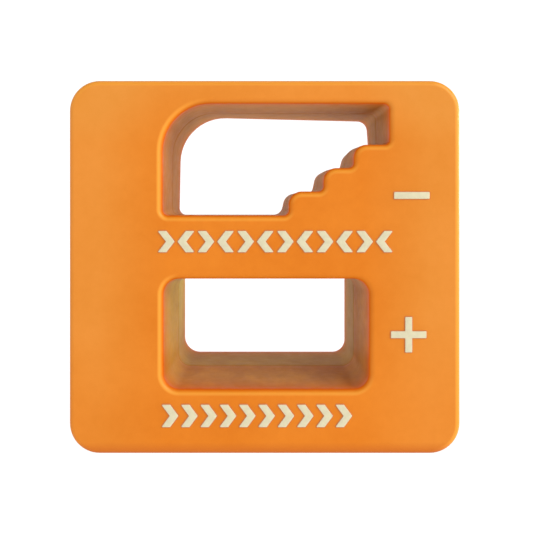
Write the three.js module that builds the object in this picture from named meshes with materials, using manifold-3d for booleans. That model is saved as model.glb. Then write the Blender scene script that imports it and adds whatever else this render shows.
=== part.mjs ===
// A pocket magnetizer and demagnetizer: a two-part moulded block with two windows,
// four ferrite magnets, two steel yoke plates and raised marks on the front face.
// Millimetres. +X right, +Y from the front to the back, +Z up, origin at bottom centre.
import * as THREE from "three";
import { mergeVertices } from "three/addons/utils/BufferGeometryUtils.js";
import Module from "manifold-3d";

// Housing
const width = 52;
const height = 49.65;
const frontY = -13.8;
const backY = 14;
const cornerRadius = 4;
const outerEdgeRadius = 0.7;
const seamGap = 0.3;
const faceWall = 2;
const sideWall = 2;
const windowWall = 2;
const windowMouthRadius = 0.78;
const pastFace = 0.02;
const cutMargin = 1;
const leastRadius = 0.1;
const mergeDistance = 1e-4;

// Magnetizer window, a rectangle with round corners
const magnetizerLeft = -13.5;
const magnetizerRight = 13.9;
const magnetizerBottom = 8.54;
const magnetizerTop = 23.3;
const magnetizerRadius = 2.1;
const magnetizerSeamInset = 0.6;
const magnetizerRearInset = 0.5;

// Demagnetizer window, with three steps that rise to the right. It is a little wider and its
// steps are rounder in the rear half.
const demagnetizerFront = {
  left: -13.62, right: 16.6, floor: 31.7, top: 46.62,
  treads: [34.9, 38.03, 41.15], risers: [3.2, 7.84, 11.87], noseRadius: 1.75, rootRadius: 0.7,
};
const demagnetizerRear = {
  left: -13.75, right: 16.8, floor: 31.55, top: 46.9,
  treads: [34.95, 38.25, 41.45], risers: [3.35, 8.15, 12.35], noseRadius: 1.9, rootRadius: 1.1,
};
const bigCornerRadius = 6.4;
const smallCornerRadius = 0.8;

// Tongue of the front half and the rebate of the rear half
const tongueDepth = 0.9;
const tongueLength = 1.5;
const fitGap = 0.3;

// Locating pins: x and z of each centre
const pinCentres = [[-12, 4.27], [12, 4.27], [-9, 27.5], [13.5, 30.8]];
const pinDiameter = 2;
const frontBossDiameter = 3.4;
const rearBossDiameter = 4;
const pinEndY = 5.5;
const socketEndY = 6;
const frontInnerEndY = -0.5;
const rearInnerStartY = 2.2;

// Magnets and yoke plates
const magnetFrontY = -11.4;
const magnetBackY = 11.6;
const magnetHeight = 17;
const magnetThickness = 6;
const thinMagnetThickness = 3.3;
const magnetizerMagnetBottom = 7.66;
const demagnetizerMagnetBottom = 29.3;
const magnetOuterX = 22.2;
const magnetCornerRadius = 0.6;
const magnetEdge = 0.3;
const yokeInnerX = 22.5;
const yokeThickness = 1.2;
const yokeCornerRadius = 0.3;
const yokeEdge = 0.15;
const ribThickness = 1.2;
const ribInnerX = 15.9;

// Raised marks on the front face
const markThickness = 0.2;
const markEdge = 0.05;
const signLength = 4.7;
const signBarWidth = 0.92;
const minusCentre = [19.51, 34.36];
const plusCentre = [19.09, 15.89];
const upperRow = { count: 12, left: -14.2, right: 17, bottom: 26.82, markHeight: 2.83 };
const lowerRow = { count: 10, left: -13.7, right: 11.6, bottom: 3.63, markHeight: 2.98 };
const chevronWidth = 2.25;
const chevronStroke = 1.15;

// Smoothness: segments of a round corner, of a rounded edge and of a pin
const fine = { corner: 4, edge: 2 };
const coarse = { corner: 2, edge: 1 };
const pinSides = 16;

const wasm = await Module();
wasm.setup();

const orangePlastic = new THREE.MeshStandardMaterial({ color: 0xee8a2d, roughness: 0.42, metalness: 0 });
const creamFoil = new THREE.MeshStandardMaterial({ color: 0xece0c0, roughness: 0.45, metalness: 0 });
const ferrite = new THREE.MeshStandardMaterial({ color: 0x2f3032, roughness: 0.7, metalness: 0.1 });
const mildSteel = new THREE.MeshStandardMaterial({ color: 0x9ba0a4, roughness: 0.4, metalness: 1 });

// A solid for joining and cutting, from a closed geometry
function toSolid(geometry) {
  const bare = geometry.clone();
  bare.deleteAttribute("normal");
  bare.deleteAttribute("uv");
  const merged = mergeVertices(bare, mergeDistance);
  return new wasm.Manifold(new wasm.Mesh({
    numProp: 3,
    vertProperties: new Float32Array(merged.attributes.position.array),
    triVerts: new Uint32Array(merged.index.array),
  }));
}

function toGeometry(solid) {
  const mesh = solid.getMesh();
  const geometry = new THREE.BufferGeometry();
  geometry.setAttribute("position", new THREE.BufferAttribute(mesh.vertProperties, 3));
  geometry.setIndex(new THREE.BufferAttribute(mesh.triVerts, 1));
  geometry.computeVertexNormals();
  return geometry;
}

// Closed outline through square corners [x, z, radius], counter-clockwise. Each side moves
// outwards by grow, so an outward corner's radius grows and an inward corner's shrinks.
function outline(corners, grow = 0) {
  const rounded = corners.map(([x, z, radius], i) => {
    const [beforeX, beforeZ] = corners[(i + corners.length - 1) % corners.length];
    const [afterX, afterZ] = corners[(i + 1) % corners.length];
    const arrive = new THREE.Vector2(x - beforeX, z - beforeZ).normalize();
    const leave = new THREE.Vector2(afterX - x, afterZ - z).normalize();
    const turn = Math.sign(arrive.cross(leave));
    const moved = new THREE.Vector2(
      x + grow * (arrive.y + leave.y),
      z - grow * (arrive.x + leave.x),
    );
    const newRadius = Math.max(radius + turn * grow, leastRadius);
    const centre = moved.clone().addScaledVector(arrive, -newRadius).addScaledVector(leave, newRadius);
    const startAngle = Math.atan2(-leave.y, -leave.x);
    return { centre, newRadius, startAngle, turn };
  });
  const shape = new THREE.Shape();
  for (const { centre, newRadius, startAngle, turn } of rounded) {
    const endAngle = startAngle + turn * Math.PI / 2;
    shape.absarc(centre.x, centre.y, newRadius, startAngle, endAngle, turn < 0);
  }
  return shape;
}

function rectangle(left, right, bottom, top, radius) {
  return [
    [left, bottom, radius],
    [right, bottom, radius],
    [right, top, radius],
    [left, top, radius],
  ];
}

function polygon(points) {
  return new THREE.Shape(points.map(([x, z]) => new THREE.Vector2(x, z)));
}

// The shape, in x and z, extruded from one y to another. A positive edge rounds both ends
// inwards from the shape, and a negative one flares them outwards.
function slab(shape, fromY, toY, edge = 0, smoothness = fine, steps = 1) {
  const thickness = Math.abs(edge);
  const geometry = new THREE.ExtrudeGeometry(shape, {
    depth: toY - fromY - 2 * thickness,
    steps,
    curveSegments: smoothness.corner,
    bevelEnabled: thickness > 0,
    bevelThickness: thickness,
    bevelSize: edge,
    bevelOffset: -edge,
    bevelSegments: smoothness.edge,
  });
  geometry.rotateX(Math.PI / 2);
  geometry.translate(0, toY - thickness, 0);
  return geometry;
}

function box(left, right, fromY, toY, bottom, top) {
  const geometry = new THREE.BoxGeometry(right - left, toY - fromY, top - bottom);
  geometry.translate((left + right) / 2, (fromY + toY) / 2, (bottom + top) / 2);
  return geometry;
}

// Everything of the block that lies in front of y
function ahead(y) {
  return toSolid(box(-width, width, frontY - cutMargin, y, -cutMargin, height + cutMargin));
}

// Everything of the block that lies behind y
function behind(y) {
  return toSolid(box(-width, width, y, backY + cutMargin, -cutMargin, height + cutMargin));
}

function pin(x, z, diameter, fromY, toY) {
  const geometry = new THREE.CylinderGeometry(diameter / 2, diameter / 2, toY - fromY, pinSides);
  geometry.translate(x, (fromY + toY) / 2, z);
  return geometry;
}

const block = rectangle(-width / 2, width / 2, 0, height, cornerRadius);
const magnetizerWindow = rectangle(
  magnetizerLeft, magnetizerRight, magnetizerBottom, magnetizerTop, magnetizerRadius,
);

function steppedWindow({ left, right, floor, top, treads, risers, noseRadius, rootRadius }) {
  return [
    [left, floor, smallCornerRadius],
    [risers[0], floor, rootRadius],
    [risers[0], treads[0], noseRadius],
    [risers[1], treads[0], rootRadius],
    [risers[1], treads[1], noseRadius],
    [risers[2], treads[1], rootRadius],
    [risers[2], treads[2], noseRadius],
    [right, treads[2], rootRadius],
    [right, top, smallCornerRadius],
    [left, top, bigCornerRadius],
  ];
}

// Narrows the magnetizer window's cutter evenly from its mouths to the parting line
function narrowAtSeam(geometry) {
  const centreX = (magnetizerLeft + magnetizerRight) / 2;
  const centreZ = (magnetizerBottom + magnetizerTop) / 2;
  const scaleX = magnetizerSeamInset / (magnetizerRight - centreX);
  const scaleZ = magnetizerSeamInset / (magnetizerTop - centreZ);
  const position = geometry.attributes.position;
  for (let i = 0; i < position.count; i += 1) {
    const nearSeam = 1 - Math.min(1, Math.abs(position.getY(i) / frontY));
    const x = position.getX(i);
    const z = position.getZ(i);
    position.setX(i, x - (x - centreX) * scaleX * nearSeam);
    position.setZ(i, z - (z - centreZ) * scaleZ * nearSeam);
  }
  return geometry;
}

// A window's cutter, flared at both mouths
function windowCutter(corners, grow, faceY) {
  const reach = Math.abs(faceY) + pastFace;
  return slab(outline(corners, grow), -reach, reach, -windowMouthRadius, fine, 2);
}

// What lies between the outer wall less one amount and the windows grown by another
function betweenWalls(fromOuter, fromWindows, fromY, toY) {
  let between = toSolid(slab(outline(block, -fromOuter), fromY, toY));
  for (const window of [magnetizerWindow, steppedWindow(demagnetizerFront)]) {
    const cutter = slab(outline(window, fromWindows), fromY - cutMargin, toY + cutMargin);
    between = between.subtract(toSolid(cutter));
  }
  return between;
}

// Ribs that hold the magnets, on both sides, from one y to another
function magnetRibs(fromY, toY) {
  const ribBottoms = [
    magnetizerMagnetBottom - fitGap - ribThickness,
    magnetizerMagnetBottom + magnetHeight + fitGap,
    demagnetizerMagnetBottom - fitGap - ribThickness,
  ];
  const ribs = [];
  for (const bottom of ribBottoms) {
    for (const side of [-1, 1]) {
      const left = Math.min(side * ribInnerX, side * magnetOuterX);
      const right = Math.max(side * ribInnerX, side * magnetOuterX);
      ribs.push(toSolid(box(left, right, fromY, toY, bottom, bottom + ribThickness)));
    }
  }
  return ribs;
}

function frontShell() {
  const cavity = betweenWalls(sideWall, windowWall, frontY + faceWall, backY - faceWall);
  const tongue = betweenWalls(
    sideWall - tongueDepth, windowWall - tongueDepth, -seamGap, tongueLength,
  ).subtract(cavity);
  let shell = toSolid(slab(outline(block), frontY, backY, outerEdgeRadius))
    .intersect(ahead(-seamGap / 2))
    .subtract(cavity)
    .add(tongue);
  const innerFaceY = frontY + faceWall / 2;
  for (const [x, z] of pinCentres) {
    shell = shell.add(toSolid(pin(x, z, frontBossDiameter, innerFaceY, frontInnerEndY)))
      .add(toSolid(pin(x, z, pinDiameter, frontInnerEndY - cutMargin, pinEndY)));
  }
  for (const rib of magnetRibs(innerFaceY, frontInnerEndY)) {
    shell = shell.add(rib);
  }
  return toGeometry(shell
    .subtract(toSolid(narrowAtSeam(windowCutter(magnetizerWindow, 0, frontY))))
    .subtract(toSolid(windowCutter(steppedWindow(demagnetizerFront), 0, frontY))));
}

function rearShell() {
  const cavity = betweenWalls(sideWall, windowWall, frontY + faceWall, backY - faceWall);
  const rebate = betweenWalls(
    sideWall - tongueDepth - fitGap,
    windowWall - tongueDepth - fitGap,
    -cutMargin,
    tongueLength + fitGap,
  );
  let shell = toSolid(slab(outline(block), frontY, backY, outerEdgeRadius))
    .intersect(behind(seamGap / 2))
    .subtract(cavity);
  const innerFaceY = backY - faceWall / 2;
  for (const [x, z] of pinCentres) {
    shell = shell.add(toSolid(pin(x, z, rearBossDiameter, rearInnerStartY, innerFaceY)))
      .subtract(toSolid(pin(x, z, pinDiameter + 2 * fitGap, rearInnerStartY - cutMargin, socketEndY)));
  }
  for (const rib of magnetRibs(rearInnerStartY, innerFaceY)) {
    shell = shell.add(rib);
  }
  return toGeometry(shell
    .subtract(rebate)
    .subtract(toSolid(windowCutter(magnetizerWindow, -magnetizerRearInset, backY)))
    .subtract(toSolid(windowCutter(steppedWindow(demagnetizerRear), 0, backY))));
}

// A magnet against the yoke plate on one side, -1 left or 1 right
function magnet(side, thickness, bottom) {
  const inner = side * (magnetOuterX - thickness);
  const outer = side * magnetOuterX;
  const shape = outline(rectangle(
    Math.min(inner, outer), Math.max(inner, outer), bottom, bottom + magnetHeight, magnetCornerRadius,
  ));
  return slab(shape, magnetFrontY, magnetBackY, magnetEdge, coarse);
}

function yokePlate(side) {
  const inner = side * yokeInnerX;
  const outer = side * (yokeInnerX + yokeThickness);
  const top = demagnetizerMagnetBottom + magnetHeight;
  const shape = outline(rectangle(
    Math.min(inner, outer), Math.max(inner, outer), magnetizerMagnetBottom, top, yokeCornerRadius,
  ));
  return slab(shape, magnetFrontY, magnetBackY, yokeEdge, coarse);
}

// A raised mark on the front face, with a fine edge
function raised(shape) {
  const geometry = slab(shape, frontY - markThickness, frontY + markThickness, markEdge, coarse);
  return toGeometry(toSolid(geometry).intersect(ahead(frontY)));
}

function minusSign() {
  const [x, z] = minusCentre;
  const arm = signLength / 2;
  const half = signBarWidth / 2;
  return polygon([
    [x - arm, z - half], [x + arm, z - half], [x + arm, z + half], [x - arm, z + half],
  ]);
}

function plusSign() {
  const [x, z] = plusCentre;
  const arm = signLength / 2;
  const half = signBarWidth / 2;
  return polygon([
    [x - arm, z - half], [x - half, z - half], [x - half, z - arm],
    [x + half, z - arm], [x + half, z - half], [x + arm, z - half],
    [x + arm, z + half], [x + half, z + half], [x + half, z + arm],
    [x - half, z + arm], [x - half, z + half], [x - arm, z + half],
  ]);
}

// A chevron that points right (way 1) or left (way -1)
function chevron(centreX, bottom, markHeight, way) {
  const middle = bottom + markHeight / 2;
  const top = bottom + markHeight;
  const tail = centreX - way * chevronWidth / 2;
  const tip = centreX + way * chevronWidth / 2;
  const stroke = way * chevronStroke;
  return polygon([
    [tail, bottom], [tail + stroke, bottom], [tip, middle],
    [tail + stroke, top], [tail, top], [tip - stroke, middle],
  ]);
}

const demagnetizerBlock = new THREE.Group();

function addPiece(name, geometry, material) {
  const mesh = new THREE.Mesh(geometry, material);
  mesh.name = name;
  demagnetizerBlock.add(mesh);
}

// A row of chevrons; every second one is turned round where alternate is true
function addRow(name, row, alternate) {
  const pitch = (row.right - row.left - chevronWidth) / (row.count - 1);
  for (let i = 0; i < row.count; i += 1) {
    const centreX = row.left + chevronWidth / 2 + i * pitch;
    const way = alternate && i % 2 === 1 ? -1 : 1;
    const number = String(i + 1).padStart(2, "0");
    const mark = raised(chevron(centreX, row.bottom, row.markHeight, way));
    addPiece(`${name}_${number}`, mark, creamFoil);
  }
}

addPiece("front_shell", frontShell(), orangePlastic);
addPiece("rear_shell", rearShell(), orangePlastic);
addPiece("magnetizer_magnet_left", magnet(-1, magnetThickness, magnetizerMagnetBottom), ferrite);
addPiece("magnetizer_magnet_right", magnet(1, magnetThickness, magnetizerMagnetBottom), ferrite);
addPiece("demagnetizer_magnet_left", magnet(-1, magnetThickness, demagnetizerMagnetBottom), ferrite);
addPiece("demagnetizer_magnet_right", magnet(1, thinMagnetThickness, demagnetizerMagnetBottom), ferrite);
addPiece("left_yoke_plate", yokePlate(-1), mildSteel);
addPiece("right_yoke_plate", yokePlate(1), mildSteel);
addPiece("minus_mark", raised(minusSign()), creamFoil);
addPiece("plus_mark", raised(plusSign()), creamFoil);
addRow("upper_row_mark", upperRow, true);
addRow("lower_row_mark", lowerRow, false);

export default demagnetizerBlock;
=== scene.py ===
import bmesh
import bpy
import numpy as np
from math import radians
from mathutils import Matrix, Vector
from mathutils.geometry import tessellate_polygon


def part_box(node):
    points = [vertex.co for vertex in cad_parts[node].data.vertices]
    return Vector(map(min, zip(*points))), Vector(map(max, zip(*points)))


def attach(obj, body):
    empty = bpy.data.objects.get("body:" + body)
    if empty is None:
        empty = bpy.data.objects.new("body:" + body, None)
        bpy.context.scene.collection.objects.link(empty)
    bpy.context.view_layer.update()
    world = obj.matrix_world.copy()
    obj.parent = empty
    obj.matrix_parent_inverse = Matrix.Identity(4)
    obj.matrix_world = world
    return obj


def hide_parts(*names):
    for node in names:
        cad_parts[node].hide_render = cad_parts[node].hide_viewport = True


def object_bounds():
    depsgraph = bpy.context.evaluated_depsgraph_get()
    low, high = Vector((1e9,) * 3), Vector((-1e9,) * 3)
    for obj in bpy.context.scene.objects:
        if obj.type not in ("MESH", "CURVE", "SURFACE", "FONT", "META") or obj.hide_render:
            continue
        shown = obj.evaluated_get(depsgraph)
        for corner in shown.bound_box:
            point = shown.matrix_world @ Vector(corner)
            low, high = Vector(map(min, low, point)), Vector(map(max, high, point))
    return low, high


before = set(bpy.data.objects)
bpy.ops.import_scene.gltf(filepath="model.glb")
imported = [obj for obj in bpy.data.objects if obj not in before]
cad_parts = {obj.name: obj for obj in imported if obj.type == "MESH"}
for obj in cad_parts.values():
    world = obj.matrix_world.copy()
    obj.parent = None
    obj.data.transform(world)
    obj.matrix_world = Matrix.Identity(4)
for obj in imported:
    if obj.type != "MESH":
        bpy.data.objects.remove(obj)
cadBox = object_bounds()
print("frame:", len(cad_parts), "CAD nodes")

mm = 0.001  # shapes are worked out in millimetres and put into the meshes in metres
mergeDistance = 1e-7

boxHigh = np.array(cadBox[1]) / mm
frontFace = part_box("front_shell")[0].y / mm
backFace = boxHigh[1]
halfWidth = boxHigh[0]
blockHeight = boxHigh[2]

housing = {
    "cornerRadius": 4.0,
    "edgeRadius": 0.7,
    "mouthRadius": 0.78,
    "wall": 2.0,
    "faceWall": 2.0,
    "seamGap": 0.03,  # half of what shows between the two halves
    "grooveSize": 0.2,
    "supportRow": 0.08,  # narrow row on the face that keeps a rounded edge's shading to itself
    "arcPoints": 14,
    "sidePoints": 5,
    "grooveSteps": 3,
    "edgeSteps": 8,
    "wallSteps": 10,
}

# Each window's outline (x, z, corner radius) at its front mouth, at the parting line and at its
# rear mouth
magnetizerWindow = {
    "front": [(-13.5, 8.54, 2.1), (13.9, 8.54, 2.1), (13.9, 23.25, 2.1), (-13.5, 23.25, 2.1)],
    "seam": [(-12.82, 9.12, 2.0), (13.34, 9.12, 2.0), (13.34, 22.75, 2.0), (-12.82, 22.75, 2.0)],
    "rear": [(-12.97, 8.93, 2.5), (13.26, 8.93, 2.0), (13.26, 22.8, 1.9), (-12.97, 22.8, 1.9)],
    "seamShade": 0.25,  # painted shade where the two halves meet
}
demagnetizerWindow = {
    "front": [
        (-13.62, 31.7, 0.8),
        (3.2, 31.7, 0.7), (3.2, 34.9, 1.75),
        (7.84, 34.9, 0.7), (7.84, 38.03, 1.75),
        (11.87, 38.03, 0.7), (11.87, 41.15, 1.75),
        (16.6, 41.15, 0.6), (16.6, 46.62, 0.8),
        (-13.62, 46.62, 6.4),
    ],
    "seam": [
        (-13.72, 31.66, 0.9),
        (3.15, 31.66, 1.0), (3.35, 34.95, 2.0),
        (7.85, 34.95, 0.9), (8.0, 38.35, 2.0),
        (11.95, 38.35, 0.9), (12.2, 41.6, 2.0),
        (16.7, 41.6, 0.7), (16.6, 46.7, 1.0),
        (-13.6, 46.85, 6.4),
    ],
    "rear": [
        (-13.88, 31.5, 1.1),
        (2.75, 31.5, 1.5), (3.55, 34.95, 1.9),
        (7.85, 34.95, 1.1), (8.6, 38.45, 1.85),
        (12.3, 38.45, 1.1), (13.1, 41.6, 1.9),
        (17.2, 41.6, 0.8), (16.85, 46.8, 1.6),
        (-13.55, 47.55, 7.3),
    ],
    # Painted shade where the two halves meet
    "seamShade": 0.15,
}


def roundedOutline(corners, grow, arcPoints, sidePoints, leastRadius=0.04):
    # Points round a closed outline, counter-clockwise in x and z. Every side moves outwards by
    # grow. A corner is an arc: the centre plus the radius turned from the arriving side's normal
    # to the leaving side's. Points in between divide each straight side evenly. One row of corners
    # serves every growth, and several rows go with one growth each.
    grow = np.asarray(grow, float)[:, None]
    corners = np.broadcast_to(corners, (len(grow), *np.shape(corners)[-2:]))
    place, radius = corners[..., :2], corners[..., 2]
    arrive = place - np.roll(place, 1, 1)
    arrive = arrive / np.linalg.norm(arrive, axis=2, keepdims=True)
    leave = np.roll(arrive, -1, 1)
    cross = arrive[..., 0] * leave[..., 1] - arrive[..., 1] * leave[..., 0]
    bend = np.arctan2(cross, (arrive * leave).sum(2))
    turn = np.sign(bend)
    normalIn = np.stack([arrive[..., 1], -arrive[..., 0]], -1)
    normalOut = np.stack([leave[..., 1], -leave[..., 0]], -1)
    away = (normalIn + normalOut) / (1 + (normalIn * normalOut).sum(2, keepdims=True))
    moved = place + grow[..., None] * away
    radius = np.maximum(radius + turn * grow, leastRadius)
    start = moved - arrive * (radius * np.tan(np.abs(bend) / 2))[..., None]
    centre = start - normalIn * (turn * radius)[..., None]
    angle = bend[..., None] * np.linspace(0, 1, arcPoints)
    spoke = (normalIn * turn[..., None])[:, :, None]
    turned = np.stack([
        spoke[..., 0] * np.cos(angle) - spoke[..., 1] * np.sin(angle),
        spoke[..., 0] * np.sin(angle) + spoke[..., 1] * np.cos(angle),
    ], -1)
    arcs = centre[:, :, None] + radius[..., None, None] * turned
    step = (np.arange(sidePoints) + 1)[:, None] / (sidePoints + 1)
    nextArc = np.roll(arcs, -1, 1)[:, :, :1]
    sides = arcs[:, :, -1:] * (1 - step) + nextArc * step
    return np.concatenate([arcs, sides], 2).reshape(len(grow), -1, 2)


def carryRound(profile, corners, arcPoints=None, sidePoints=None):
    # A profile carried round an outline. Row i is the outline grown by profile[i, 0] at the
    # depth profile[i, 1], so the grid is profile rows by outline points.
    profile = np.asarray(profile, float)
    arcPoints = arcPoints or housing["arcPoints"]
    sidePoints = housing["sidePoints"] if sidePoints is None else sidePoints
    flat = roundedOutline(corners, profile[:, 0], arcPoints, sidePoints)
    depth = np.broadcast_to(profile[:, 1:2], flat.shape[:2])
    return np.stack([flat[..., 0], depth, flat[..., 1]], -1)


def quarter(fromPoint, toPoint, steps, bulge):
    # A quarter of an ellipse between two profile points, without the first point. It leaves along
    # the depth when bulge is "depth" and along the growth when bulge is "grow".
    t = np.linspace(0, np.pi / 2, steps + 1)[1:]
    fromPoint, toPoint = np.array(fromPoint, float), np.array(toPoint, float)
    early, late = np.sin(t), 1 - np.cos(t)
    share = np.stack([late, early] if bulge == "depth" else [early, late], -1)
    return fromPoint + (toPoint - fromPoint) * share


def facing(grid, side, upShare=0.75):
    # How far each point of a carried outline faces right, or in part up, towards the lamps: the
    # direction along the outline turned a quarter, outwards when side is 1 and into a window when
    # side is -1. It places the rims' painted highlight.
    along = np.roll(grid, -1, 1) - np.roll(grid, 1, 1)
    along = side * along / np.linalg.norm(along, axis=2, keepdims=True)
    return np.clip(np.clip(along[..., 2], 0, 1) + upShare * np.clip(-along[..., 0], 0, 1), 0, 1)


def straight(fromPoint, toPoint, steps):
    # Points along a straight profile line, without the first point
    share = np.linspace(0, 1, steps + 1)[1:, None]
    return np.array(fromPoint) + (np.array(toPoint) - np.array(fromPoint)) * share


def circle(centre, radius):
    # Four square corners whose arcs meet, which is a circle
    x, z = centre
    return [(x - radius, z - radius, radius), (x + radius, z - radius, radius),
            (x + radius, z + radius, radius), (x - radius, z + radius, radius)]


def rectangle(left, right, bottom, top, radius):
    # Four corners, counter-clockwise from the lower left
    return [
        (left, bottom, radius), (right, bottom, radius),
        (right, top, radius), (left, top, radius),
    ]


def newSkin():
    # Grids and flat faces that share their border points and are joined into one closed surface
    return {"points": np.zeros((0, 3)), "faces": [], "marks": {}}


def addGrid(skin, points, **marks):
    # Quads between neighbouring rows, closed round each row. A mark is a value for each row or
    # for each point. Returns each row's indices.
    rows, columns = points.shape[:2]
    index = len(skin["points"]) + np.arange(rows * columns).reshape(rows, columns)
    beside = np.roll(index, -1, 1)
    quads = np.stack([index[:-1], beside[:-1], beside[1:], index[1:]], -1)
    skin["faces"] += quads.reshape(-1, 4).tolist()
    for name in sorted(set(skin["marks"]) | set(marks)):
        before = skin["marks"].get(name, np.zeros(len(skin["points"])))
        values = np.reshape(marks.get(name, np.zeros(rows)), (rows, -1)) * np.ones(columns)
        skin["marks"][name] = np.concatenate([before, values.reshape(-1)])
    skin["points"] = np.concatenate([skin["points"], points.reshape(-1, 3)])
    return index


def addCap(skin, *rings):
    # A flat face from the first ring to the rings inside it, out of the rings' own points
    flat = [np.insert(skin["points"][ring][:, [0, 2]], 2, 0, 1).tolist() for ring in rings]
    index = np.concatenate(rings)
    skin["faces"] += index[np.array(tessellate_polygon(flat))].tolist()


def makePiece(skin, name, material, sharp=35):
    # Joins the doubled border points, turns the faces outwards and keeps corners over the sharp
    # angle crisp
    mesh = bpy.data.meshes.new(name)
    mesh.from_pydata((skin["points"] * mm).tolist(), [], skin["faces"])
    for mark, values in skin["marks"].items():
        attribute = mesh.attributes.new(mark, "FLOAT", "POINT")
        attribute.data.foreach_set("value", values.astype(np.float32))
    surface = bmesh.new()
    surface.from_mesh(mesh)
    bmesh.ops.remove_doubles(surface, verts=surface.verts, dist=mergeDistance)
    bmesh.ops.recalc_face_normals(surface, faces=surface.faces)
    loose = [edge for edge in surface.edges if len(edge.link_faces) != 2]
    surface.to_mesh(mesh)
    surface.free()
    mesh.shade_smooth()
    mesh.set_sharp_from_angle(angle=radians(sharp))
    mesh.materials.append(material)
    made = bpy.data.objects.new(name, mesh)
    bpy.context.scene.collection.objects.link(made)
    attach(made, "root")
    print(f"{name}: {len(mesh.polygons)} faces, {len(loose)} open edges")
    return made


def startMaterial(name):
    # A new node material: itself, its nodes, its links and its shader
    material = bpy.data.materials.new(name)
    material.use_nodes = True
    nodes = material.node_tree.nodes
    return material, nodes, material.node_tree.links, nodes["Principled BSDF"]


def addNoise(nodes, links, where, scale, detail=2.0, roughness=0.5):
    # Cloudy noise about 0.5, with scale clouds to a metre
    noise = nodes.new("ShaderNodeTexNoise")
    noise.inputs["Scale"].default_value = scale
    noise.inputs["Detail"].default_value = detail
    noise.inputs["Roughness"].default_value = roughness
    links.new(where, noise.inputs["Vector"])
    return noise.outputs["Fac"]


def addRange(nodes, links, value, low, high, newLow, newHigh):
    # Straight-line map from low..high to newLow..newHigh, held inside it
    mapped = nodes.new("ShaderNodeMapRange")
    sockets = ("From Min", "From Max", "To Min", "To Max")
    for name, number in zip(sockets, (low, high, newLow, newHigh)):
        mapped.inputs[name].default_value = number
    links.new(value, mapped.inputs["Value"])
    return mapped.outputs["Result"]


def addMix(nodes, links, share, first, second):
    # first * (1 - share) + second * share, each a colour or a socket
    mix = nodes.new("ShaderNodeMix")
    mix.data_type = "RGBA"
    for socket, colour in ((mix.inputs["A"], first), (mix.inputs["B"], second)):
        if isinstance(colour, tuple):
            socket.default_value = (*colour, 1)
        else:
            links.new(colour, socket)
    links.new(share, mix.inputs["Factor"])
    return mix.outputs["Result"]


def addMath(nodes, links, operation, first, second):
    # One operation on two values, each a number or a socket
    maths = nodes.new("ShaderNodeMath")
    maths.operation = operation
    for socket, value in ((maths.inputs[0], first), (maths.inputs[1], second)):
        if isinstance(value, (int, float)):
            socket.default_value = value
        else:
            links.new(value, socket)
    return maths.outputs["Value"]


def addBump(nodes, links, height, distance, strength, onto=None):
    # The normal tilted by the slope of height * distance (in metres), on top of another normal
    bump = nodes.new("ShaderNodeBump")
    bump.inputs["Distance"].default_value = distance
    bump.inputs["Strength"].default_value = strength
    links.new(height, bump.inputs["Height"])
    if onto:
        links.new(onto, bump.inputs["Normal"])
    return bump.outputs["Normal"]


def addAttribute(nodes, name):
    # A mark that the mesh carries at each point, from 0 to 1
    attribute = nodes.new("ShaderNodeAttribute")
    attribute.attribute_name = name
    return attribute.outputs["Fac"]


def objectPlace(nodes):
    # Where a point is on the piece, in metres
    return nodes.new("ShaderNodeTexCoord").outputs["Object"]


# How a noise's usual values are stretched to 0 to 1, clearly and softly
clear = (0.35, 0.65, 0, 1)
soft = (0.3, 0.7, 0, 1)

plastic = {
    "light": (0.722, 0.205, 0.009),
    "deep": (0.655, 0.165, 0.001),
    "sheenLight": (0.722, 0.263, 0.037),  # painted sheen towards the sides and the top
    "sheenDeep": (0.675, 0.233, 0.021),
    "rim": (0.80, 0.305, 0.022),  # painted highlight on the mouths' and outer edges that face the lamps
    "root": (0.72, 0.125, 0.002),  # painted shade where a mouth runs into its wall
    "bottomShade": (0.555, 0.13, 0.007),  # painted shade along the lowest edge
    # Wall colours: painted shade and painted reflection of the pale surroundings, with tints by
    # place for how the light falls on each wall; the blotches are random
    "wallTan": (0.60, 0.302, 0.068),
    "wallBrown": (0.53, 0.258, 0.067),
    "wallRear": (0.53, 0.35, 0.094),
    "wallUpper": (0.58, 0.297, 0.058),
    "wallShade": (0.38, 0.165, 0.05),  # blotches on every wall
    "wallLeft": (0.59, 0.245, 0.026),
    "wallTop": (0.75, 0.39, 0.075),
    "wallGold": (0.98, 0.82, 0.13),  # painted light on the upper part of the lower window's left wall
    "broadShare": 0.65,  # of the mottling; the rest is fine
    "shadeShare": 0.24,
    "dirtStretch": (1, 0.5, 1),
    "roughness": (0.42, 0.58),
    "rimRoughness": 0.25,
    "specular": 0.2,
    "rimSpecular": 0.35,
    "wallSpecular": 0.02,
    "wave": (0.00006, 0.6),  # depth in metres and strength
    "grain": (0.000012, 0.7),
}

# Scale, detail and roughness of each noise
plasticNoise = {
    "broad": (70, 3, 0.5),
    "fine": (900, 3, 0.6),
    "dirt": (420, 4, 0.6),
    "wave": (160, 2, 0.5),
    "grain": (5200, 2, 0.5),
}

# Where each tint starts and ends in metres, and its share at the start and at the end
plasticTints = {
    "sideSheen": (0.013, 0.022, 0, 0.7),  # painted sheen, out from the middle
    "lowSheen": (0.006, 0.018, 0.55, 1),  # painted sheen, up; the sides get less of it near the bottom
    "topSheen": (0.041, 0.049, 0, 0.6),  # painted sheen, up
    "bottomShade": (0.0002, 0.0016, 1, 0),  # up; painted shade on the lowest edge
    # Where the walls' tints of painted shade, light and reflection go
    "lowerWindow": (0.026, 0.03, 1, 0),  # up
    "upperWindow": (0.0285, 0.0305, 0, 0.8),  # up
    "rearHalf": (-0.0005, 0.0005, 0, 0.8),  # back
    "leftWall": (-0.0128, -0.0118, 0.9, 0),  # right
    "ceiling": (0.0455, 0.0463, 0, 0.7),  # up
    "goldBack": (-0.012, -0.001, 0.4, 1),  # back
    "goldUp": (0.01, 0.0225, 0.15, 1),  # up
}


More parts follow.
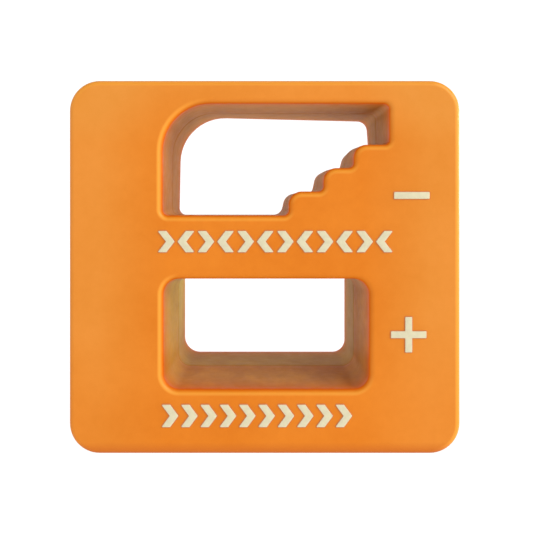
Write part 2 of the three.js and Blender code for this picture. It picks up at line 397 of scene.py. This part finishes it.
def facePaint(nodes, links, place, axes, fine):
    # Colour of the outer faces: a mix of two oranges by broad plus fine mottling, then a paler
    # pair of oranges towards the sides and the top as a painted sheen, then the rim's painted
    # highlight where it is marked
    noise = addNoise(nodes, links, place, *plasticNoise["broad"])
    broad = addRange(nodes, links, noise, *clear)
    broad = addMath(nodes, links, "MULTIPLY", broad, plastic["broadShare"])
    fineShare = addMath(nodes, links, "MULTIPLY", fine, 1 - plastic["broadShare"])
    mottle = addMath(nodes, links, "ADD", broad, fineShare)
    fresh = addMix(nodes, links, mottle, plastic["deep"], plastic["light"])
    sheen = addMix(nodes, links, mottle, plastic["sheenDeep"], plastic["sheenLight"])
    aside = addMath(nodes, links, "ABSOLUTE", axes["X"], 0)
    sides = addMath(
        nodes, links, "MULTIPLY",
        addRange(nodes, links, aside, *plasticTints["sideSheen"]),
        addRange(nodes, links, axes["Z"], *plasticTints["lowSheen"]),
    )
    top = addRange(nodes, links, axes["Z"], *plasticTints["topSheen"])
    face = addMix(nodes, links, addMath(nodes, links, "ADD", sides, top), fresh, sheen)
    return addMix(nodes, links, addAttribute(nodes, "rim"), face, plastic["rim"])


def wallPaint(nodes, links, place, axes):
    # Colour of the window walls, painted shade and painted reflection of the pale surroundings: tan
    # and brown streaks, then one tint after another by place as painted light and shade on each
    # wall, and darker blotches over all of them
    streaks = nodes.new("ShaderNodeMapping")
    streaks.inputs["Scale"].default_value = plastic["dirtStretch"]
    links.new(place, streaks.inputs["Vector"])
    noise = addNoise(nodes, links, streaks.outputs["Vector"], *plasticNoise["dirt"])
    dirt = addRange(nodes, links, noise, *clear)
    share = {
        name: addRange(nodes, links, axes[axis], *plasticTints[name])
        for name, axis in (
            ("lowerWindow", "Z"), ("upperWindow", "Z"), ("rearHalf", "Y"), ("leftWall", "X"),
            ("ceiling", "Z"), ("goldBack", "Y"), ("goldUp", "Z"),
        )
    }
    lowerRear = addMath(nodes, links, "MULTIPLY", share["lowerWindow"], share["rearHalf"])
    gold = addMath(nodes, links, "MULTIPLY", share["leftWall"], share["goldBack"])
    gold = addMath(nodes, links, "MULTIPLY", gold, share["goldUp"])
    gold = addMath(nodes, links, "MULTIPLY", gold, share["lowerWindow"])
    blotches = addMath(nodes, links, "MULTIPLY", dirt, plastic["shadeShare"])
    colour = addMix(nodes, links, dirt, plastic["wallTan"], plastic["wallBrown"])
    for amount, tint in (
        (lowerRear, "wallRear"), (share["upperWindow"], "wallUpper"),
        (share["leftWall"], "wallLeft"), (share["ceiling"], "wallTop"),
        (gold, "wallGold"), (blotches, "wallShade"),
    ):
        colour = addMix(nodes, links, amount, colour, plastic[tint])
    return colour


def makePlastic():
    # Orange moulded plastic: mottled faces with a painted sheen, walls painted duller as shade and
    # reflection, painted shade on the lowest edge and at the mouths' roots, smoother rims with a
    # painted highlight, a fine grain and a slight waviness
    material, nodes, links, shader = startMaterial("orangePlastic")
    place = objectPlace(nodes)
    separate = nodes.new("ShaderNodeSeparateXYZ")
    links.new(place, separate.inputs["Vector"])
    axes = separate.outputs
    rim, wall, root = (addAttribute(nodes, mark) for mark in ("rim", "wall", "root"))
    fine = addRange(nodes, links, addNoise(nodes, links, place, *plasticNoise["fine"]), *soft)
    face = facePaint(nodes, links, place, axes, fine)
    colour = addMix(nodes, links, wall, face, wallPaint(nodes, links, place, axes))
    # Painted shade on the lowest edge, then at the mouths' roots and along the parting line
    bottomShade = addRange(nodes, links, axes["Z"], *plasticTints["bottomShade"])
    colour = addMix(nodes, links, bottomShade, colour, plastic["bottomShade"])
    colour = addMix(nodes, links, root, colour, plastic["root"])
    links.new(colour, shader.inputs["Base Color"])
    rough = addRange(nodes, links, fine, 0, 1, *plastic["roughness"])
    smoother = plastic["roughness"][0] - plastic["rimRoughness"]
    rimBand = addMath(nodes, links, "MULTIPLY", rim, smoother)
    links.new(addMath(nodes, links, "SUBTRACT", rough, rimBand), shader.inputs["Roughness"])
    waves = addNoise(nodes, links, place, *plasticNoise["wave"])
    grains = addNoise(nodes, links, place, *plasticNoise["grain"])
    wavy = addBump(nodes, links, waves, *plastic["wave"])
    links.new(addBump(nodes, links, grains, *plastic["grain"], wavy), shader.inputs["Normal"])
    dull = addMath(nodes, links, "MAXIMUM", wall, root)
    gloss = addRange(nodes, links, dull, 0, 1, plastic["specular"], plastic["wallSpecular"])
    polish = addMath(nodes, links, "MULTIPLY", rim, plastic["rimSpecular"] - plastic["specular"])
    links.new(addMath(nodes, links, "ADD", gloss, polish), shader.inputs["Specular IOR Level"])
    return material


foil = {
    "cream": (0.66, 0.605, 0.40),
    "ivory": (0.61, 0.555, 0.37),
    "rimOrange": (0.60, 0.16, 0.02),
    "roughness": (0.38, 0.55),
    "grain": (0.00001, 0.5),
    "cloudNoise": (1500, 3),
    "grainNoise": (7000, 2),
}


def makeFoil():
    # Cream stamped foil: a mix of two creams by a fine mottling, and an orange pressed rim
    material, nodes, links, shader = startMaterial("creamFoil")
    place = objectPlace(nodes)
    cloud = addRange(nodes, links, addNoise(nodes, links, place, *foil["cloudNoise"]), *clear)
    colour = addMix(nodes, links, cloud, foil["cream"], foil["ivory"])
    colour = addMix(nodes, links, addAttribute(nodes, "rim"), colour, foil["rimOrange"])
    links.new(colour, shader.inputs["Base Color"])
    rough = addRange(nodes, links, cloud, 0, 1, *foil["roughness"])
    links.new(rough, shader.inputs["Roughness"])
    grains = addNoise(nodes, links, place, *foil["grainNoise"])
    links.new(addBump(nodes, links, grains, *foil["grain"]), shader.inputs["Normal"])
    return material


ferrite = {
    "dark": (0.022, 0.023, 0.026),
    "light": (0.06, 0.058, 0.056),
    "roughness": (0.55, 0.8),
    "pores": (0.00004, 0.8),
    "cloudNoise": (700, 5, 0.65),
    "poreNoise": (3500, 4),
}


def makeFerrite():
    # Sintered ferrite: a mix of two dark greys by a clouded noise, with pores
    material, nodes, links, shader = startMaterial("sinteredFerrite")
    place = objectPlace(nodes)
    cloud = addRange(nodes, links, addNoise(nodes, links, place, *ferrite["cloudNoise"]), *clear)
    colour = addMix(nodes, links, cloud, ferrite["dark"], ferrite["light"])
    links.new(colour, shader.inputs["Base Color"])
    rough = addRange(nodes, links, cloud, 0, 1, *ferrite["roughness"])
    links.new(rough, shader.inputs["Roughness"])
    pores = addNoise(nodes, links, place, *ferrite["poreNoise"])
    links.new(addBump(nodes, links, pores, *ferrite["pores"]), shader.inputs["Normal"])
    return material


steel = {
    "dark": (0.25, 0.26, 0.27),
    "light": (0.46, 0.47, 0.48),
    "roughness": (0.28, 0.45),
    "lines": (0.00001, 0.5),
    "stretch": (1, 1, 0.03),
    "lineNoise": (4000, 3),
}


def makeSteel():
    # Cold-rolled steel: noise drawn out along the plate's height, as rolling leaves it
    material, nodes, links, shader = startMaterial("rolledSteel")
    stretch = nodes.new("ShaderNodeMapping")
    stretch.inputs["Scale"].default_value = steel["stretch"]
    links.new(objectPlace(nodes), stretch.inputs["Vector"])
    drawn = addNoise(nodes, links, stretch.outputs["Vector"], *steel["lineNoise"])
    lines = addRange(nodes, links, drawn, *soft)
    colour = addMix(nodes, links, lines, steel["dark"], steel["light"])
    links.new(colour, shader.inputs["Base Color"])
    rough = addRange(nodes, links, lines, 0, 1, *steel["roughness"])
    links.new(rough, shader.inputs["Roughness"])
    links.new(addBump(nodes, links, lines, *steel["lines"]), shader.inputs["Normal"])
    shader.inputs["Metallic"].default_value = 1
    return material


orangePlastic = makePlastic()
creamFoil = makeFoil()
sinteredFerrite = makeFerrite()
rolledSteel = makeSteel()
print("materials made")

# How much of each tint the rows of a half's sides have. A mouth runs from 0 at its wall to 1 at the
# face.
rowTints = {
    "wallAtMouth": (0.6, 0.45, 2.0),  # last row of the wall, then the mouth's start and its fall
    "rim": (1.2, 0.64, 0.25),  # painted highlight: peak, its place in the mouth and the width it falls over
    "root": (1.1, 0.36),  # painted shade: start in the mouth and the width it falls over
    "rootInWall": (0.8, 2.4),  # painted shade: share at the mouth, and how deep into the window it fades, in mm
    # rows from the parting line that its painted shade fades over, in each half
    "seamShadeRows": {"front": 7, "rear": 4},
    "outerRim": (0.8, 0.3),  # painted highlight: share on the rounded edge and on its last row
}

inside = {
    "tongueDepth": 0.9,
    "tongueLength": 1.5,
    "tongueChamfer": 0.1,
    "fitGap": 0.3,
    "pinCentres": [(-12, 4.27), (12, 4.27), (-9, 27.5), (13.5, 30.8)],
    "pinRadius": 1.0,
    "pinChamfer": 0.3,
    "frontBossRadius": 1.7,
    "rearBossRadius": 2.0,
    "frontEnd": -0.5,
    "rearStart": 2.2,
    "pinEnd": 5.5,
    "socketEnd": 6.0,
    "ribBottoms": (6.16, 24.96, 27.8),
    "ribThickness": 1.2,
    "ribSpan": (16.3, 22.0),
    "ribRadius": 0.2,
    "ribChamfer": 0.15,
    "hollowRadius": 0.3,
    "pinPoints": (7, 0),  # points to an arc and between arcs
    "ribPoints": (4, 1),
}


def cavityCorners():
    # The hollow inside: the block less its wall, stepped round the stepped window. It is left
    # solid above that window.
    wall, corner = housing["wall"], inside["hollowRadius"]
    edge, top = halfWidth - wall, blockHeight - wall
    inner = housing["cornerRadius"] - wall
    window = np.array(demagnetizerWindow["front"])[:, :2]
    steps = window[7:0:-1] + (wall, -wall)  # from the upper right corner down to the first riser
    left, floor = window[0] - wall
    return [
        (-edge, wall, inner), (edge, wall, inner), (edge, top, inner), (steps[0, 0], top, corner),
        *[(x, z, corner) for x, z in steps],
        (left, floor, corner), (left, top, corner), (-edge, top, inner),
    ]


def seamProfile(grow, depth, wallEnd):
    # From the parting line to wallEnd: a quarter circle of the groove, then the straight wall
    groove = housing["grooveSize"]
    return np.concatenate([
        [(grow, depth)],
        quarter((grow, depth), (0, depth - groove), housing["grooveSteps"], "grow"),
        straight((0, depth - groove), (0, wallEnd), housing["wallSteps"]),
    ])


def addBlockSide(skin, onFace, depth):
    # The outer side of a half: the seam's groove, the wall, the rounded edge and a narrow row
    edge, support = housing["edgeRadius"], housing["supportRow"]
    profile = np.concatenate([
        seamProfile(-housing["grooveSize"], depth, edge),
        quarter((0, edge), (-edge, 0), housing["edgeSteps"], "depth"),
        straight((-edge, 0), (-edge - support, 0), 1),
    ])
    block = rectangle(-halfWidth, halfWidth, 0, blockHeight, housing["cornerRadius"])
    grid = carryRound(onFace(profile), block)
    # Painted highlight on the rounded edge, on the sides that face the lamps
    share, lastShare = rowTints["outerRim"]
    plain = housing["grooveSteps"] + housing["wallSteps"] + 2
    rimBand = np.concatenate([
        np.zeros(plain), np.full(housing["edgeSteps"] - 2, share), [lastShare, 0],
    ])
    return addGrid(skin, grid, rim=rimBand[:, None] * facing(grid, 1))


def addWindowSide(skin, window, onFace, depth, end):
    # The wall of one window in one half. Its outline goes evenly from the parting line's to the
    # mouth's, with depth less the mouth as the way. Three marks go with the rows: wall is the
    # wall's colour of painted shade and reflection, root the painted shade at the mouth and at the
    # parting line, and rim the painted highlight on the edges that face the lamps.
    mouth, support = housing["mouthRadius"], housing["supportRow"]
    lower = seamProfile(housing["grooveSize"], depth, mouth)
    upper = np.concatenate([
        quarter((0, mouth), (mouth, 0), housing["edgeSteps"], "depth"),
        straight((mouth, 0), (mouth + support, 0), 1),
    ])
    profile = np.concatenate([lower, upper])
    share = np.clip((profile[:, 1:2, None] - mouth) / (depth - mouth), 0, 1)
    atMouth, atSeam = np.array(window[end]), np.array(window["seam"])
    grid = carryRound(onFace(profile), atMouth * (1 - share) + atSeam * share)

    along = np.linspace(0, 1, len(upper))
    # Where the wall's colour of painted shade and reflection goes, fading out across the mouth
    lastRow, start, fall = rowTints["wallAtMouth"]
    wall = np.concatenate([
        np.ones(len(lower) - 1), [lastRow], np.clip(start - fall * along, 0, 1),
    ])
    # Painted shade: from the parting line a few rows into the wall, from the mouth fading into the
    # window, then across the mouth
    deep, reach = rowTints["rootInWall"]
    seamShade = np.clip(1 - np.arange(len(lower)) / rowTints["seamShadeRows"][end], 0, 1)
    rootInWall = window["seamShade"] * seamShade + deep * np.exp((mouth - lower[:, 1]) / reach)
    start, width = rowTints["root"]
    root = np.concatenate([rootInWall, np.clip(start - along / width, 0, 1)])
    # Painted highlight on the mouth's rounded edge, on the sides that face the lamps
    peak, place, width = rowTints["rim"]
    rimBand = np.clip(peak - np.abs(along - place) / width, 0, 1)
    rim = np.concatenate([np.zeros(len(lower)), rimBand])
    return addGrid(skin, grid, wall=wall, root=root, rim=rim[:, None] * facing(grid, -1))


def hollowProfile(depth, rear):
    # Growth and depth from the hollow's floor to the tongue's foot, or to the groove for it
    floor, length = housing["faceWall"], inside["tongueLength"]
    if rear:
        start = depth - length - inside["fitGap"]
        out = inside["tongueDepth"] + inside["fitGap"]
        return np.array([(0, floor), (0, start), (out, start), (out, depth)])
    out, end, chamfer = inside["tongueDepth"], depth + length, inside["tongueChamfer"]
    return np.array([
        (0, floor), (0, end - chamfer), (chamfer, end),
        (out - chamfer, end), (out, end - chamfer), (out, depth),
    ])


def pinProfile(face, rear):
    # The boss's radius, and its profile: up to a step in, then the pin's end or the socket's bore
    floor, radius = housing["faceWall"], inside["pinRadius"]
    if rear:
        boss, start = inside["rearBossRadius"], abs(face) - inside["rearStart"]
        shrink, bore = radius + inside["fitGap"] - boss, abs(face) - inside["socketEnd"]
        return boss, np.array([(0, floor), (0, start), (shrink, start), (shrink, bore)])
    boss, start = inside["frontBossRadius"], abs(face) + inside["frontEnd"]
    shrink, tip, chamfer = radius - boss, abs(face) + inside["pinEnd"], inside["pinChamfer"]
    return boss, np.array([
        (0, floor), (0, start), (shrink, start), (shrink, tip - chamfer), (shrink - chamfer, tip),
    ])


def addInside(skin, onFace, face, rear):
    # The bosses and ribs that stand on the hollow's floor. Returns their foot rings.
    rings = []
    boss, profile = pinProfile(face, rear)
    for centre in inside["pinCentres"]:
        foot = circle(centre, boss)
        rows = addGrid(skin, carryRound(onFace(profile), foot, *inside["pinPoints"]))
        addCap(skin, rows[-1])
        rings.append(rows[0])
    end = abs(face) - (inside["rearStart"] if rear else -inside["frontEnd"])
    chamfer = inside["ribChamfer"]
    profile = np.array([(0, housing["faceWall"]), (0, end - chamfer), (-chamfer, end)])
    for bottom in inside["ribBottoms"]:
        for side in (-1, 1):
            span = sorted(side * x for x in inside["ribSpan"])
            top = bottom + inside["ribThickness"]
            rib = rectangle(*span, bottom, top, inside["ribRadius"])
            rows = addGrid(skin, carryRound(onFace(profile), rib, *inside["ribPoints"]))
            addCap(skin, rows[-1])
            rings.append(rows[0])
    return rings


def addHalf(name, node, face, inward, rear):
    # One half of the housing. Profiles are (growth, depth below the face); the block's outline,
    # the two windows, the hollow and the wall round the lower window are carried round with them,
    # and flat faces join their ends.
    def onFace(profile):
        return np.stack([profile[:, 0], face + inward * profile[:, 1]], -1)

    depth, end = abs(face) - housing["seamGap"], "rear" if rear else "front"
    skin = newSkin()
    blockRows = addBlockSide(skin, onFace, depth)
    steppedRows = addWindowSide(skin, demagnetizerWindow, onFace, depth, end)
    lowerRows = addWindowSide(skin, magnetizerWindow, onFace, depth, end)

    hollow = hollowProfile(depth, rear)
    hollowRows = addGrid(skin, carryRound(onFace(hollow), cavityCorners()))
    left, bottom, corner = magnetizerWindow["front"][0]
    right, top = magnetizerWindow["front"][2][:2]
    wall = housing["wall"]
    island = rectangle(left - wall, right + wall, bottom - wall, top + wall, corner + wall)
    islandRows = addGrid(skin, carryRound(onFace(hollow * (-1, 1)), island))
    footRings = addInside(skin, onFace, face, rear)

    addCap(skin, blockRows[-1], steppedRows[-1], lowerRows[-1])
    addCap(skin, blockRows[0], steppedRows[0], hollowRows[-1])
    addCap(skin, islandRows[-1], lowerRows[0])
    addCap(skin, hollowRows[0], islandRows[0], *footRings)
    half = makePiece(skin, name, orangePlastic)
    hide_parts(node)


addHalf("front_half", "front_shell", frontFace, 1, False)
addHalf("rear_half", "rear_shell", backFace, -1, True)

stamp = {
    "rimWidth": 0.13,
    "rimRise": 0.03,
    "topEdge": 0.06,
    "topSteps": 4,
    "tipRadius": 0.1,
    "chevronStroke": 1.15,
    "points": (6, 3),
}


def stampedMark(node, corners):
    # A raised mark: a low pressed rim, a steep side and a rounded top edge carried round its
    # outline
    face, top = frontFace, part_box(node)[0].y / mm
    rim, rise, edge = stamp["rimWidth"], stamp["rimRise"], stamp["topEdge"]
    foot = [(rim, face + rise), (rim, face - rise / 2), (rim / 3, face - rise), (0, face - rise)]
    profile = np.concatenate([
        foot, [(0, top + edge)],
        quarter((0, top + edge), (-edge, top), stamp["topSteps"], "depth"),
    ])
    pressed = np.concatenate([np.ones(len(foot)), np.zeros(len(profile) - len(foot))])
    skin = newSkin()
    rows = addGrid(skin, carryRound(profile, corners, *stamp["points"]), rim=pressed)
    addCap(skin, rows[0])
    addCap(skin, rows[-1])
    mark = makePiece(skin, node + "_foil", creamFoil)
    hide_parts(node)


def nodeSpan(node):
    # Left, right, bottom and top of a node in millimetres
    low, high = (np.array(corner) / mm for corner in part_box(node))
    return low[0], high[0], low[2], high[2]


def chevron(node, way):
    # Six corners inside the node's box; way 1 points right and -1 left
    left, right, bottom, top = nodeSpan(node)
    middle, stroke, tip = (bottom + top) / 2, stamp["chevronStroke"], stamp["tipRadius"]
    across = [left, left + stroke, right, left + stroke, left, right - stroke]
    up = [bottom, bottom, middle, top, top, middle]
    corners = [(x if way > 0 else left + right - x, z, tip) for x, z in zip(across, up)]
    return corners if way > 0 else corners[::-1]


def cross(node, thickness):
    # The twelve corners of a plus sign in the node's box: three on its right arm, turned by a
    # quarter three times
    left, right, bottom, top = nodeSpan(node)
    middleX, middleZ, half = (left + right) / 2, (bottom + top) / 2, thickness / 2
    arm = right - middleX
    turns = [(1, 0, 0, 1), (0, -1, 1, 0), (-1, 0, 0, -1), (0, 1, -1, 0)]
    return [
        (middleX + a * u + b * v, middleZ + c * u + d * v, stamp["tipRadius"])
        for a, b, c, d in turns for u, v in [(arm, -half), (arm, half), (half, half)]
    ]


minusBox = nodeSpan("minus_mark")
stampedMark("minus_mark", rectangle(*minusBox, stamp["tipRadius"]))
stampedMark("plus_mark", cross("plus_mark", minusBox[3] - minusBox[2]))
for node in sorted(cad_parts):
    if node.startswith("upper_row_mark"):
        stampedMark(node, chevron(node, 1 if int(node[-2:]) % 2 else -1))
    elif node.startswith("lower_row_mark"):
        stampedMark(node, chevron(node, 1))

for node, cadPiece in sorted(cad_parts.items()):
    finish = sinteredFerrite if "_magnet_" in node else rolledSteel if "yoke" in node else None
    if finish:
        cadPiece.data.materials.clear()
        cadPiece.data.materials.append(finish)
print("pieces made")

stage = {
    "flatRadii": [0.02, 0.2, 0.45],
    "flatEnd": 0.7,
    "bowlRadius": 1.1,
    "bowlHeight": 0.8,
    "sides": 96,
    "bowlRows": 13,
    "grey": (0.1, 0.1, 0.1),
    "roughness": 0.9,
    "specular": 0.1,
    "glow": 1.0,
}


def makeStage():
    # A round pale floor that curves up all round: a profile of radius and height turned about Z
    turn = np.linspace(0, 2 * np.pi, stage["sides"] + 1)[:-1]
    bend = stage["bowlRadius"] - stage["flatEnd"]
    t = np.linspace(0, np.pi / 2, stage["bowlRows"])
    curved = stage["flatEnd"] + bend * np.sin(t)
    radius = np.concatenate([stage["flatRadii"], curved, [stage["bowlRadius"]]])
    height = np.concatenate([
        np.zeros(len(stage["flatRadii"])), bend * (1 - np.cos(t)), [stage["bowlHeight"]],
    ])
    grid = np.stack([
        radius[:, None] * np.cos(turn), radius[:, None] * np.sin(turn),
        np.broadcast_to(height[:, None], (len(radius), len(turn))),
    ], -1)
    index = np.arange(len(radius) * len(turn)).reshape(len(radius), -1)
    beside = np.roll(index, -1, 1)
    quads = np.stack([index[:-1], index[1:], beside[1:], beside[:-1]], -1).reshape(-1, 4).tolist()
    mesh = bpy.data.meshes.new("paleFloor")
    mesh.from_pydata(grid.reshape(-1, 3).tolist(), [], [index[0].tolist()] + quads)
    mesh.shade_smooth()
    material, nodes, links, shader = startMaterial("paleFloor")
    shader.inputs["Base Color"].default_value = (*stage["grey"], 1)
    shader.inputs["Roughness"].default_value = stage["roughness"]
    shader.inputs["Specular IOR Level"].default_value = stage["specular"]
    shader.inputs["Emission Color"].default_value = (1, 1, 1, 1)
    shader.inputs["Emission Strength"].default_value = stage["glow"]
    mesh.materials.append(material)
    floor = bpy.data.objects.new("paleFloor", mesh)
    bpy.context.scene.collection.objects.link(floor)


def addArea(name, place, target, size, power, colour=(1, 1, 1)):
    # A round area light at place, turned so that it shines at target
    light = bpy.data.lights.new(name, "AREA")
    light.shape = "DISK"
    light.size = size
    light.energy = power
    light.color = colour
    lamp = bpy.data.objects.new(name, light)
    lamp.location = place
    lamp.rotation_euler = (Vector(target) - Vector(place)).to_track_quat("-Z", "Y").to_euler()
    bpy.context.scene.collection.objects.link(lamp)


lights = {
    "keyLight": {"place": (0.62, -0.56, 0.55), "size": 0.7, "power": 4.6},
    "sideLight": {
        "place": (0.97, -0.034, 0.14), "size": 0.04, "power": 3.4, "colour": (1, 0.9, 0.5),
    },
    "backLight": {"place": (0.6, 0.55, 0.12), "size": 0.3, "power": 1.2},
    "topLight": {"place": (0, 0.05, 0.95), "size": 0.5, "power": 0.9},
}

makeStage()
middle = (0, 0, blockHeight * mm / 2)
for name, light in lights.items():
    addArea(name, target=middle, **light)

worldGlow = 0.25
world = bpy.data.worlds.new("studio")
bpy.context.scene.world = world
world.use_nodes = True
background = world.node_tree.nodes["Background"]
background.inputs["Color"].default_value = (1, 1, 1, 1)
background.inputs["Strength"].default_value = worldGlow

view = {
    "fromFace": 112.0,
    "x": -0.6,
    "z": 33.07,
    "lens": 56.98,
    "sensor": 36.0,
    "shift": (0.0118, -0.1151),
    "nearest": 0.001,
}
cameraData = bpy.data.cameras.new("camera")
cameraData.lens = view["lens"]
cameraData.sensor_width = view["sensor"]
cameraData.shift_x, cameraData.shift_y = view["shift"]
cameraData.clip_start = view["nearest"]
camera = bpy.data.objects.new("camera", cameraData)
camera.location = (view["x"] * mm, (frontFace - view["fromFace"]) * mm, view["z"] * mm)
camera.rotation_euler = (radians(90), 0, 0)  # level, looking to the back
bpy.context.scene.collection.objects.link(camera)
bpy.context.scene.camera = camera
bpy.context.scene.view_settings.view_transform = "Standard"
print("stage, light and camera made")
